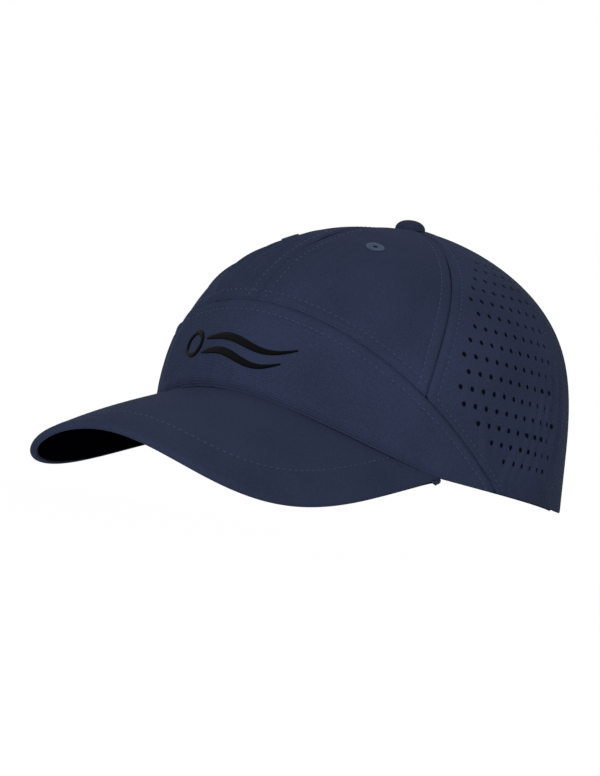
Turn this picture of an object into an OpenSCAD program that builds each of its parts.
// Bump cap: a six-seam cloth cap with a curved visor, a hard shell and foam pads inside,
// and a size strap with a lever buckle at the rear.
// The wearer looks along -Y and the wearer's left is +X. The rear rim lies at z = 0.
// A place on the crown is given by its bearing (0 front, 90 left, 180 rear), its climb
// (0 at the rim's level, 90 at the top) and its depth below the outer face of the cloth.

/* [Crown] */
// Half the outside width of the crown at the rim
crown_half_w = 86; // [80:0.5:104]
// Centre of the head opening to the front of the rim
crown_front = 104; // [96:0.5:125]
// Centre of the head opening to the rear of the rim
crown_rear = 102; // [94:0.5:122]
// Height of the crown above the rear rim
crown_h = 119; // [106:0.5:143]
// How far the top lies behind the centre of the head opening
top_back = 18; // [8:0.5:24]
// Thickness of the crown cloth
cloth_t = 0.9; // [0.6:0.1:1.2]
// Slope of the plane that holds the front panel's seam
front_seam_slope = 0.975; // [0.9:0.005:1.05]
// Bearing of the side seam at the rim's level
side_seam_bearing = 53.3; // [50:0.1:58]

/* [Visor] */
// Length of the visor at its middle
visor_length = 69; // [50:0.5:83]
// Height of the visor's root above the rear rim, at its middle
visor_rise = 43; // [38:0.5:48]
// Radius that the visor is bent to
visor_bend_r = 92.5; // [90:0.5:120]
// Half the width of the visor, measured along the bend
visor_half_w = 93; // [84:0.5:96]
// Fall of the visor towards its edge, in degrees
visor_fall = 9.5; // [4:0.5:14]
// Thickness of the board inside the visor
board_t = 1.8; // [1.2:0.1:2.4]
// Thickness of each visor cover
cover_t = 0.7; // [0.4:0.1:1]
// Board edge to the folded edge of the covers
board_inset = 0.03; // [0.02:0.005:0.06]

/* [Lining] */
// Width of the tapes over the seams
tape_w = 12; // [8:0.5:16]
// Thickness of the tapes
tape_t = 0.6; // [0.4:0.1:0.8]
// Thickness of the stiff backing behind the front panel
backing_t = 0.9; // [0.6:0.1:1]
// Height of the sweatband
band_h = 33; // [26:0.5:36]
// Thickness of the foam in the sweatband
band_foam_t = 1.4; // [1:0.1:2]
// Thickness of the sweatband's cover
band_cover_t = 0.7; // [0.4:0.1:1]
// Bearing at which each end of the sweatband stops
band_end_bearing = 141; // [132:0.5:144]

/* [Shell and pads] */
// Thickness of the hard shell
shell_t = 2; // [1.6:0.1:2.6]
// Top of the sweatband to the edge of the shell
shell_edge_gap = 6; // [4:0.5:12]
// Thickness of the foam pads
pad_t = 5; // [3:0.5:6]
// Thickness of each half of a hook-and-loop fastener
fastener_t = 1.3; // [0.8:0.1:1.5]
// How far the insert is drawn down to take it out
insert_travel = 140; // [125:1:170]

/* [Rear strap and buckle] */
// Half the width of the rear opening
arch_half_w = 34; // [28:0.5:38]
// Height of the rear opening
arch_h = 44; // [36:0.5:50]
// Width of the strap
strap_w = 18; // [14:0.5:20]
// Thickness of the strap
strap_t = 1.4; // [1:0.1:1.8]
// Lower edge of the strap above the rim
strap_z = 5; // [4:0.5:8]
// Radius of the buckle's pin
pin_r = 1; // [0.8:0.1:1.2]
// Running clearance between the pin and the lever
pin_clearance = 0.06; // [0.04:0.01:0.1]

/* [Button, eyelets and mark] */
// Radius of the top button
button_r = 6.8; // [6.5:0.1:9]
// Height of the top button
button_h = 4.2; // [3:0.1:6]
// Outer radius of a vent eyelet
eyelet_r = 4.2; // [3:0.1:5]
// Width of the mark on the front panel
mark_w = 62; // [40:1:66]

/* [Hidden] */
$fn = 48;

// Gap between two pieces that are sewn or glued face to face
seat = 0.3;
// Depth at which each layer starts, from the cloth inwards
tape_d = cloth_t + 0.35;
backing_d = tape_d;
loop_d = tape_d + 0.2;
hook_d = loop_d + fastener_t + seat;
shell_d = hook_d + fastener_t + 0.2;
pad_fastener_d = shell_d + shell_t + 0.4;
pad_fastener_t = 0.8;
pad_d = pad_fastener_d + pad_fastener_t + 0.3;
band_foam_d = backing_d + backing_t + 0.4;
band_cover_d = band_foam_d + band_foam_t + 0.2;
// Size of the ring that the cloth leaves free under the button, as a share of the plan
top_ring = 0.05;
// Size of the hole at the top of the shell, as a share of the plan
shell_hole_ring = 0.1;
// Bearing at which the visor's root ends
root_bearing = 66;
// Bearing, past the visor's root, over which the rim runs down to its rear level
rim_run = 60;

function mix(a, b, t) = a + (b - a) * t;
function by_bearing(f, front, side, rear) =
  side * pow(sin(f), 2) + (cos(f) >= 0 ? front : rear) * pow(cos(f), 2);
function plan_roundness(f) = by_bearing(f, 2.75, 1.6, 1.6);
function rise_roundness(f) = by_bearing(f, 2.6, 3.5, 4.5);
// Share of the plan that is left at a climb
function plan_share(f, c) =
  pow(max(0, 1 - pow(max(0, sin(c)), rise_roundness(f))), 1 / plan_roundness(f));
// Climb at which a share of the plan is left
function climb_at_share(f, share) =
  asin(pow(1 - pow(share, plan_roundness(f)), 1 / rise_roundness(f)));
function crown_point(f, c, d = 0) =
  let (share = plan_share(f, c), reach = (cos(f) >= 0 ? crown_front : crown_rear) - d)
  [
    (crown_half_w - d) * sin(f) * share,
    top_back * (1 - share) - reach * cos(f) * share,
    (crown_h - d) * sin(c)
  ];
function unit(v) = v / norm(v);
function outward(f, c) =
  let (step = 0.05, here = crown_point(f, c))
  unit(cross(crown_point(f + step, c) - here, crown_point(f, c + step) - here));
// Turn along the bearing that covers a distance on the crown
function turn_for(distance, f, c) =
  let (step = 0.5) distance * step / norm(crown_point(f + step, c) - crown_point(f, c));
// Climb that covers a distance on the crown
function climb_for(distance, f, c) =
  let (step = 0.5) distance * step / norm(crown_point(f, c + step) - crown_point(f, c));

// Upper face of the visor, over a place in plan
function visor_z(x, y) =
  let (
    ahead = -y - crown_front,
    arch = visor_bend_r - sqrt(max(1, visor_bend_r * visor_bend_r - x * x))
  )
  visor_rise - arch * (1 + 0.0035 * ahead) - tan(visor_fall) * ahead - 0.001 * ahead * ahead;
// The same face, lowered square to the bend by a drop
function visor_point(x, y, drop) =
  let (lean = min(0.99, x / visor_bend_r))
  [x - drop * lean, y, visor_z(x, y) - drop * sqrt(1 - lean * lean)];
// Outer edge of the visor, for a turn of -90 to 90 degrees about its middle
visor_root_y = crown_front * cos(root_bearing);
function visor_edge(turn) =
  let (
    along = visor_half_w * sign(turn) * pow(abs(sin(turn)), 2 / 2.55),
    reach = crown_front + visor_length - visor_root_y
  )
  [visor_bend_r * sin(along / visor_bend_r * 180 / PI), -visor_root_y - reach * pow(max(0, cos(turn)), 2 / 2.7)];

// Height of the rim: along the visor's root, then down to the rear
function rim_z(f) =
  let (a = acos(cos(f)))
  a < root_bearing
    ? visor_z(crown_half_w * sin(a), -crown_front * cos(a))
    : visor_z(crown_half_w * sin(root_bearing), -crown_front * cos(root_bearing))
      * pow(max(0, 1 - (a - root_bearing) / rim_run), 1.15);
function climb_at_z(z) = asin(min(0.999, max(0, z / crown_h)));
function rim_climb(f, lift = 0) = climb_at_z(rim_z(f) + lift);

// Height above the plane of the front seam, at a place on the crown
function over_front_seam(f, c) =
  let (p = crown_point(f, c)) p.z + front_seam_slope * p.y;
function front_seam_climb(f, low = 0, high = 88, steps = 22) =
  steps == 0 ? low
  : let (middle = (low + high) / 2)
    over_front_seam(f, middle) < 0
      ? front_seam_climb(f, middle, high, steps - 1)
      : front_seam_climb(f, low, middle, steps - 1);
// Bearing at which the front seam is a given height above the rim
function front_seam_end(height, low = 60, high = 90, steps = 18) =
  steps == 0 ? low
  : let (middle = (low + high) / 2)
    crown_h * sin(front_seam_climb(middle)) - rim_z(middle) > height
      ? front_seam_end(height, middle, high, steps - 1)
      : front_seam_end(height, low, middle, steps - 1);
function side_seam_at(c) = side_seam_bearing + 0.2 * c + 0.002 * c * c;
// Bearing at which the side seam comes down to the front seam
function seam_meeting(low = 50, high = 75, steps = 18) =
  steps == 0 ? low
  : let (middle = (low + high) / 2)
    side_seam_at(front_seam_climb(middle)) > middle
      ? seam_meeting(middle, high, steps - 1)
      : seam_meeting(low, middle, steps - 1);
// Bearing of the front seam at a climb below the meeting
function front_seam_at(c, low = 50, high = 90, steps = 16) =
  steps == 0 ? low
  : let (middle = (low + high) / 2)
    front_seam_climb(middle) > c
      ? front_seam_at(c, middle, high, steps - 1)
      : front_seam_at(c, low, middle, steps - 1);
meeting_bearing = seam_meeting();
meeting_climb = front_seam_climb(meeting_bearing);
panel_tip_bearing = front_seam_end(1.2);
panel_tip_climb = rim_climb(panel_tip_bearing);

// Rear opening: height of its edge over a place across the rear
function arch_z(f) =
  let (across = abs(crown_half_w * sin(f)) / arch_half_w)
  cos(f) > 0 || across >= 1 ? 0 : arch_h * pow(1 - pow(across, 2.4), 1 / 2.2);
function hem_climb(f) = climb_at_z(max(rim_z(f) + seat, arch_z(f)));

// A grid of points from a map that takes two shares and a depth
function grid(map, across, up, d, around) =
  [for (i = [0 : around ? across - 1 : across]) [for (j = [0 : up]) map(i / across, j / up, d)]];

// A closed sheet between the depths d0 and d1 of a map. holes says which cells are left open.
module sheet(map, across, up, d0, d1, around = false, holes = function (i, j) false) {
  outer = grid(map, across, up, d0, around);
  inner = grid(map, across, up, d1, around);
  columns = len(outer);
  count = columns * (up + 1);
  last = around ? columns : columns - 1;
  function at(i, j) = (i % columns) * (up + 1) + j;
  function filled(i, j) =
    j >= 0 && j < up && (around || (i >= 0 && i < last)) && !holes((i + last) % last, j);
  faces = [
    for (i = [0 : last - 1]) for (j = [0 : up - 1]) if (filled(i, j))
      let (a = at(i, j), b = at(i + 1, j), c = at(i + 1, j + 1), d = at(i, j + 1))
      each concat(
        [[a, d, c], [a, c, b]],
        [[a + count, b + count, c + count], [a + count, c + count, d + count]],
        filled(i, j - 1) ? [] : wall(b, a, count),
        filled(i + 1, j) ? [] : wall(c, b, count),
        filled(i, j + 1) ? [] : wall(d, c, count),
        filled(i - 1, j) ? [] : wall(a, d, count)
      )
  ];
  polyhedron([for (column = outer) each column, for (column = inner) each column], faces, convexity = 10);
}
function wall(p, q, count) = [[q, p, p + count], [q, p + count, q + count]];

// Patch of the crown between two bearings and two climbs
module patch_sheet(f0, f1, c0, c1, across, up, d0, d1) {
  sheet(function (u, v, d) shell_point(mix(f0, f1, u), mix(c0, c1, v), d), across, up, d0, d1);
}

module mirrored_pair() {
  children();
  mirror([1, 0, 0]) children();
}

// The rear of the crown, read as an arc about an upright axis
rear_chord = 0.7 * crown_half_w;
rear_sagitta = crown_rear * (1 - sqrt(1 - pow(rear_chord / crown_half_w, 2)));
rear_r = (rear_chord * rear_chord + rear_sagitta * rear_sagitta) / (2 * rear_sagitta);
rear_axis_y = crown_rear - rear_r;
strap_r = rear_r - 6.3;
arch_turn = asin(arch_half_w / rear_r);
sleeve_end = 51;
strap_root = 45;
strap_tail = 36;

// Part of a ring about the rear axis, from turn t0 to t1 (0 rear, positive to the left)
module rear_arc(r0, r1, z0, z1, t0, t1) {
  translate([0, rear_axis_y, z0])
    rotate([0, 0, 90 - t1])
      rotate_extrude(angle = t1 - t0)
        translate([r0, 0]) square([r1 - r0, z1 - z0]);
}
// Places something at a turn about the rear axis: x to the left, y outwards
module at_rear(turn, r, z = 0) {
  translate([0, rear_axis_y, 0]) rotate([0, 0, -turn]) translate([0, r, z]) children();
}

strap_in = strap_r - strap_t / 2;
strap_out = strap_r + strap_t / 2;
strap_top = strap_z + strap_w;

// The buckle's back plate stands this far in from the strap
plate_room = 1.6;
// At the rear the shell and pads stand further in, so that they pass the strap on their way out
shell_rear_room = crown_rear - shell_d - (rear_axis_y + strap_in - plate_room - 1.5);
function smooth(t) = let (s = min(1, max(0, t))) s * s * (3 - 2 * s);
function shell_point(f, c, d) =
  crown_point(f, c, d + shell_rear_room * smooth((acos(cos(f)) - 100) / 34) * plan_share(f, c));
// Shell and pads end this far above the rim
shell_base = band_h + shell_edge_gap;
function shell_climb(f) = climb_at_z(rim_z(f) * 0.92 + shell_base + rear_lift(f));
// The shell's rear edge clears the rear opening
function rear_lift(f) =
  max(0, arch_h + 10 - shell_base) * smooth((acos(cos(f)) - 120) / 35);

NAVY = "#2B3246";
NAVY_VISOR = "#2A3144";
EYELET = "#384058";
BLACK = "#0B0C10";
LINING = "#1B1F2B";
SHELL_BLACK = "#1A1B1E";
FOAM_GREY = "#3C3F46";

module front_panel() color(NAVY)
  sheet(
    function (u, v, d)
      let (f = mix(-panel_tip_bearing, panel_tip_bearing, u), top = front_seam_climb(f))
      crown_point(f, mix(rim_climb(f, seat), top - climb_for(0.2, f, top), v), d),
    40, 6, 0, cloth_t
  );

module front_panel_backing() color(LINING)
  sheet(
    function (u, v, d)
      let (
        f = mix(-58, 58, u),
        top = front_seam_climb(f)
      )
      crown_point(f, mix(rim_climb(f, 1), top - climb_for(tape_w / 2 + 0.6, f, top), v), d),
    28, 5, backing_d, backing_d + backing_t
  );

module upper_front_panel() color(NAVY)
  sheet(
    function (u, v, d)
      let (
        side_top = climb_at_share(side_seam_at(80), top_ring),
        side_climb = mix(meeting_climb, side_top, v),
        f = u * side_seam_at(side_climb),
        low = front_seam_climb(u * meeting_bearing),
        c = mix(low + climb_for(0.2, f, low), climb_at_share(f, top_ring), v),
        gap = turn_for(0.2, max(f, 1), c)
      )
      crown_point(mix(gap, side_seam_at(side_climb) - gap, u), c, d),
    12, 12, 0, cloth_t
  );
module upper_front_panel_left() upper_front_panel();
module upper_front_panel_right() mirror([1, 0, 0]) upper_front_panel();

module rear_panel() color(NAVY)
  sheet(
    function (u, v, d)
      let (
        rise = pow(v, 1.15),
        front_top = climb_at_share(side_seam_at(80), top_ring),
        front_climb = mix(panel_tip_climb, front_top, rise),
        front_f = front_climb < meeting_climb
          ? front_seam_at(front_climb)
          : side_seam_at(front_climb),
        bend = 1 - pow(1 - u, 1.15),
        hem_f = mix(panel_tip_bearing, 180, bend),
        f = mix(front_f, 180, bend),
        c = mix(hem_climb(hem_f), climb_at_share(f, top_ring), rise),
        gap = turn_for(0.2, f, c)
      )
      crown_point(mix(front_f + gap, 180 - gap, bend), c, d),
    30, 14, 0, cloth_t
  );
module rear_panel_left() rear_panel();
module rear_panel_right() mirror([1, 0, 0]) rear_panel();

// Places something on the crown, standing along its outward direction
module on_crown(f, c, d = 0) {
  n = outward(f, c);
  translate(crown_point(f, c, d))
    rotate([0, acos(n.z), atan2(n.y, n.x)])
      children();
}

eyelet_bearing = 33;
eyelet_climb = 67.5;
module vent_eyelets() color(EYELET)
  mirrored_pair()
    on_crown(eyelet_bearing, eyelet_climb)
      translate([0, 0, seat])
        difference() {
          cylinder(h = 0.9, r = eyelet_r);
          translate([0, 0, -1]) cylinder(h = 3, r = eyelet_r * 0.4);
        }

// A ring and two tapered strokes, standing on the front panel
mark_ring_r = 6;
mark_z = 60;
module front_mark() color("black") {
  ring_bearing = turn_for(mark_w / 2 - mark_ring_r, 0, climb_at_z(mark_z));
  sheet(
    function (u, v, d)
      let (
        r = mix(mark_ring_r - 1.6, mark_ring_r, v),
        c = climb_at_z(mark_z - r * sin(360 * u))
      )
      crown_point(-ring_bearing + turn_for(r * cos(360 * u), 0, c), c, d),
    32, 1, -0.7, -seat, around = true
  );
  for (side = [0, 1])
    sheet(
      function (u, v, d)
        let (
          x = mix(-mark_w / 2 + 2 * mark_ring_r + 2, mark_w / 2 - 6 * side, u),
          thickness = 0.6 + 2.6 * sin(180 * pow(u, 0.7)),
          z = mark_z + 3.2 - 6.4 * side + 2.2 * sin(360 * u) + (v - 0.5) * thickness,
          c = climb_at_z(z)
        )
        crown_point(turn_for(x, 0, c), c, d),
      20, 1, -0.7, -seat
    );
}

button_z = crown_h + seat;
module top_button() color("#272E40")
  translate([0, top_back, button_z])
    rotate_extrude()
      intersection() {
        translate([0, -20]) square([button_r, 20 + button_h]);
        difference() {
          scale([1, button_h / button_r]) circle(r = button_r);
          translate([-20, -20]) square([40, 20]);
          translate([-1, -1]) square([1 + shank_r + 0.3, 1 + button_h / 2]);
        }
      }

shank_r = 1.4;
washer_r = 5.4;
module button_rivet() color("silver") {
  foot_z = crown_h - cloth_t - 1.9;
  translate([0, top_back, foot_z]) cylinder(h = button_z + button_h / 2 - seat - foot_z, r = shank_r);
  translate([0, top_back, foot_z]) cylinder(h = 0.8, r = washer_r);
}

module front_seam_tape() color(LINING)
  sheet(
    function (u, v, d)
      let (
        f = mix(-panel_tip_bearing + 6, panel_tip_bearing - 6, u),
        c = front_seam_climb(f),
        half = climb_for(min(tape_w / 2, 0.5 * (crown_h * sin(c) - rim_z(f))), f, c)
      )
      crown_point(f, mix(c - half, c + half, v), d),
    40, 2, tape_d, tape_d + tape_t
  );

module centre_front_tape() color(LINING)
  sheet(
    function (u, v, d)
      let (
        low = front_seam_climb(0) + climb_for(tape_w / 2 + 0.6, 0, front_seam_climb(0)),
        c = mix(low, climb_at_share(0, 0.12), u),
        half = turn_for(tape_w / 2, 0, c)
      )
      crown_point(mix(half, -half, v), c, d),
    10, 2, tape_d, tape_d + tape_t
  );

module side_seam_tapes() color(LINING)
  mirrored_pair()
    sheet(
      function (u, v, d)
        let (
          low = meeting_climb + climb_for(tape_w / 2 + 3.5, meeting_bearing, meeting_climb),
          c = mix(low, climb_at_share(70, 0.2), u),
          f = side_seam_at(c),
          half = turn_for(tape_w / 2, f, c)
        )
        crown_point(mix(f + half, f - half, v), c, d),
      14, 2, tape_d, tape_d + tape_t
    );

module centre_rear_tape() color(LINING)
  sheet(
    function (u, v, d)
      let (
        c = mix(climb_at_z(arch_h + binding_w + 1.5), climb_at_share(180, 0.2), u),
        half = turn_for(tape_w / 2, 180, c)
      )
      crown_point(180 + mix(half, -half, v), c, d),
    10, 2, tape_d, tape_d + tape_t
  );

// Visor: share u from the right tip to the left, share v from the root to the edge
function visor_map(root_gap, edge_share) =
  function (u, v, drop)
    let (
      s = 2 * u - 1,
      root = crown_point(s * root_bearing, rim_climb(s * root_bearing)),
      start = [root.x, root.y] + root_gap * [sin(s * root_bearing), -cos(s * root_bearing)],
      end = visor_edge(90 * s),
      across = mix(start, end, v * edge_share)
    )
    visor_point(across.x * mix(1, edge_share, v * 0.25), across.y, drop);
board_drop = cover_t + 0.15;
under_drop = board_drop + board_t + 0.15;

module visor_top_cover() color(NAVY_VISOR)
  sheet(visor_map(seat, 1), 32, 6, 0, cover_t);

module visor_board() color(SHELL_BLACK)
  sheet(visor_map(0.8, 1 - board_inset), 32, 6, board_drop, board_drop + board_t);

module visor_under_cover() color("black")
  sheet(visor_map(seat, 1), 32, 6, under_drop, under_drop + cover_t);

// Band round the head between two heights above the rim
function band_map(low, high) =
  function (u, v, d)
    let (f = mix(-band_end_bearing, band_end_bearing, u))
    crown_point(f, climb_at_z(rim_z(f) + mix(low, high, v)), d);

module sweatband_foam() color(FOAM_GREY)
  sheet(band_map(4, band_h - 3), 52, 3, band_foam_d, band_foam_d + band_foam_t);

module sweatband_cover() color(BLACK)
  sheet(band_map(0.8, band_h), 52, 3, band_cover_d, band_cover_d + band_cover_t);

label_bearing = 122;
module care_label() color("white")
  sheet(
    function (u, v, d)
      let (f = mix(label_bearing - 9, label_bearing + 9, u))
      crown_point(f, climb_at_z(rim_z(f) + mix(6, 24, v)), d),
    4, 2, band_cover_d + band_cover_t + seat, band_cover_d + band_cover_t + seat + 0.4
  );

binding_w = 7;
module rear_arch_binding() color(LINING)
  sheet(
    function (u, v, d)
      let (
        turn = mix(8, 172, u),
        x = (arch_half_w + 0.8 + v * binding_w) * sign(cos(turn)) * pow(abs(cos(turn)), 2 / 2.4),
        z = (arch_h + 0.8 + v * binding_w) * pow(sin(turn), 2 / 2.2),
        c = climb_at_z(z)
      )
      crown_point(180 - asin(x / (crown_half_w * plan_share(180, c))), c, d),
    28, 1, tape_d, tape_d + tape_t
  );

module strap_sleeves() color(LINING)
  mirrored_pair()
    rear_arc(strap_in - 0.5 - 0.8, strap_in - 0.5, strap_z - 3, strap_top + 3, arch_turn + 2, sleeve_end);

module size_strap() color(NAVY)
  rear_arc(strap_in, strap_out, strap_z, strap_top, -strap_root, strap_tail);

tip_len = 3;
module strap_tip() color(SHELL_BLACK)
  rear_arc(strap_in - 0.1, strap_out + 0.1, strap_z - 0.3, strap_top + 0.3, strap_tail, strap_tail + tip_len);

// Buckle: two rails joined by a back plate and an end bar, with the lever on a pin
frame_t0 = 4;
frame_t1 = 18.5;
rail_w = 1.6;
bar_r = 1.1;
bar_turn = 21.5;
bar_center_r = strap_out + 2.3;
pin_turn = 15;
hub_r = 2.3;
pin_center_r = strap_out + seat + hub_r;
rail_out = pin_center_r + hub_r;
rail_low = strap_z - 0.4 - rail_w;
rail_high = strap_top + 0.4;
frame_height = strap_w + 0.8 + 2 * rail_w;

module buckle_frame() color("#15161A") {
  inset = 0.15;
  difference() {
    union() {
      for (z = [rail_low, rail_high]) {
        rear_arc(strap_in - plate_room, strap_out + 1.2, z, z + rail_w, frame_t0, bar_turn);
        rear_arc(strap_out + 0.5, rail_out, z + inset, z + rail_w - inset, pin_turn - 2.2, pin_turn + 2.2);
        at_rear(bar_turn, bar_center_r, z + inset) cylinder(h = rail_w - 2 * inset, r = bar_r + 0.9);
      }
      rear_arc(
        strap_in - plate_room + 0.1, strap_in - 0.4, rail_low + rail_w / 2, rail_high + rail_w / 2,
        frame_t0 + 0.5, frame_t1
      );
      at_rear(bar_turn, bar_center_r, rail_low + rail_w / 2)
        cylinder(h = frame_height - rail_w, r = bar_r);
    }
    at_rear(pin_turn, pin_center_r, rail_low - 1) cylinder(h = frame_height + 2, r = pin_r);
  }
}

module buckle_pin() color("silver")
  at_rear(pin_turn, pin_center_r, rail_low) cylinder(h = frame_height, r = pin_r);

lever_t0 = 1;
// The lever's plate ends inside the wall of its hub
lever_t1 = pin_turn - asin((pin_r + hub_r) / 2 / pin_center_r);
lever_low = rail_low + rail_w + 0.4;
lever_high = rail_high - 0.4;
module buckle_lever() color("#15161A")
  difference() {
    union() {
      at_rear(pin_turn, pin_center_r, lever_low) cylinder(h = lever_high - lever_low, r = hub_r);
      rear_arc(pin_center_r - 0.6, pin_center_r + 1.2, lever_low + 0.3, lever_high - 0.3, lever_t0, lever_t1);
    }
    at_rear(pin_turn, pin_center_r, lever_low - 1)
      cylinder(h = lever_high - lever_low + 2, r = pin_r + pin_clearance);
  }

// Webbing loop from the left hem round the buckle's bar
tab_eye_r = bar_r + 0.15;
tab_t = 0.9;
module buckle_tab() color(LINING) {
  low = strap_z + 0.5;
  high = strap_top - 0.5;
  difference() {
    at_rear(bar_turn, bar_center_r, low) cylinder(h = high - low, r = tab_eye_r + tab_t * 0.8);
    at_rear(bar_turn, bar_center_r, low - 1) cylinder(h = high - low + 2, r = tab_eye_r);
  }
  tab_r = bar_center_r - 0.3;
  rear_arc(tab_r, tab_r + tab_t, low + 0.2, high - 0.2, bar_turn + 1.3, 40);
}

// Hook-and-loop fasteners that hold the shell in the crown: four places on each side of a gap
patch_bearings = [32, 90];
patch_climb = 55;
patch_half_turn = 9;
patch_half_climb = 4.5;
module shell_fastener_halves(d)
  mirrored_pair()
    for (f = patch_bearings)
      patch_sheet(
        f - patch_half_turn, f + patch_half_turn,
        patch_climb - patch_half_climb, patch_climb + patch_half_climb,
        3, 2, d, d + fastener_t
      );
module shell_loop_patches() color(BLACK) shell_fastener_halves(loop_d);
module shell_hook_patches() color(BLACK) shell_fastener_halves(hook_d);

// Hard shell: a closed dome with two rows of vent slots
vent_rows = [[2, 4], [7, 9]];
function vent_open(i, j) =
  len([for (row = vent_rows) if (j >= row[0] && j <= row[1]) 1]) > 0
  && (i + (j > 5 ? 3 : 0)) % 6 == 1;
module hard_shell() color(SHELL_BLACK)
  sheet(
    function (u, v, d)
      let (f = 360 * u)
      shell_point(f, mix(shell_climb(f), climb_at_share(f, shell_hole_ring), pow(v, 0.8)), d),
    72, 14, shell_d, shell_d + shell_t, around = true, holes = function (i, j) vent_open(i, j)
  );

// Foam pads: each is a patch of the crown below the shell
module crown_pad() color(FOAM_GREY)
  sheet(
    function (u, v, d)
      let (f = 360 * u)
      shell_point(f, mix(climb_at_share(f, 0.52), climb_at_share(f, 0.16), v), d),
    36, 4, pad_d, pad_d + pad_t, around = true
  );
function pad_map(f0, f1, share) =
  function (u, v, d)
    let (f = mix(f0, f1, u))
    shell_point(f, mix(shell_climb(f) + 2, climb_at_share(f, share), v), d);
module front_pad() color(FOAM_GREY) sheet(pad_map(-40, 40, 0.58), 14, 4, pad_d, pad_d + pad_t);
module side_pads() color(FOAM_GREY)
  mirrored_pair() sheet(pad_map(58, 118, 0.58), 9, 4, pad_d, pad_d + pad_t);
module rear_pad() color(FOAM_GREY) sheet(pad_map(140, 220, 0.58), 12, 4, pad_d, pad_d + pad_t);

// Hook-and-loop squares between the pads and the shell
function pad_fastener_places() = [
  for (f = [0, 45, 135, 180, 225, 315]) [f, climb_at_share(f, 0.34)],
  for (f = [-22, 22, 80, 105, 160, 200, 255, 280])
    [f, mix(shell_climb(f), climb_at_share(f, 0.58), 0.6)]
];
module pad_fasteners() color(BLACK)
  for (place = pad_fastener_places()) {
    half_turn = turn_for(5, place[0], place[1]);
    half_climb = climb_for(5, place[0], place[1]);
    patch_sheet(
      place[0] - half_turn, place[0] + half_turn, place[1] - half_climb, place[1] + half_climb,
      2, 2, pad_fastener_d, pad_fastener_d + pad_fastener_t
    );
  }

front_panel();
front_panel_backing();
upper_front_panel_left();
upper_front_panel_right();
rear_panel_left();
rear_panel_right();
vent_eyelets();
front_mark();
top_button();
button_rivet();
front_seam_tape();
centre_front_tape();
side_seam_tapes();
centre_rear_tape();
visor_board();
visor_top_cover();
visor_under_cover();
sweatband_foam();
sweatband_cover();
care_label();
rear_arch_binding();
strap_sleeves();
shell_loop_patches();
size_strap();
strap_tip();
buckle_tab();
buckle_frame();
buckle_pin();
buckle_lever();
shell_hook_patches();
hard_shell();
crown_pad();
front_pad();
side_pads();
rear_pad();
pad_fasteners();
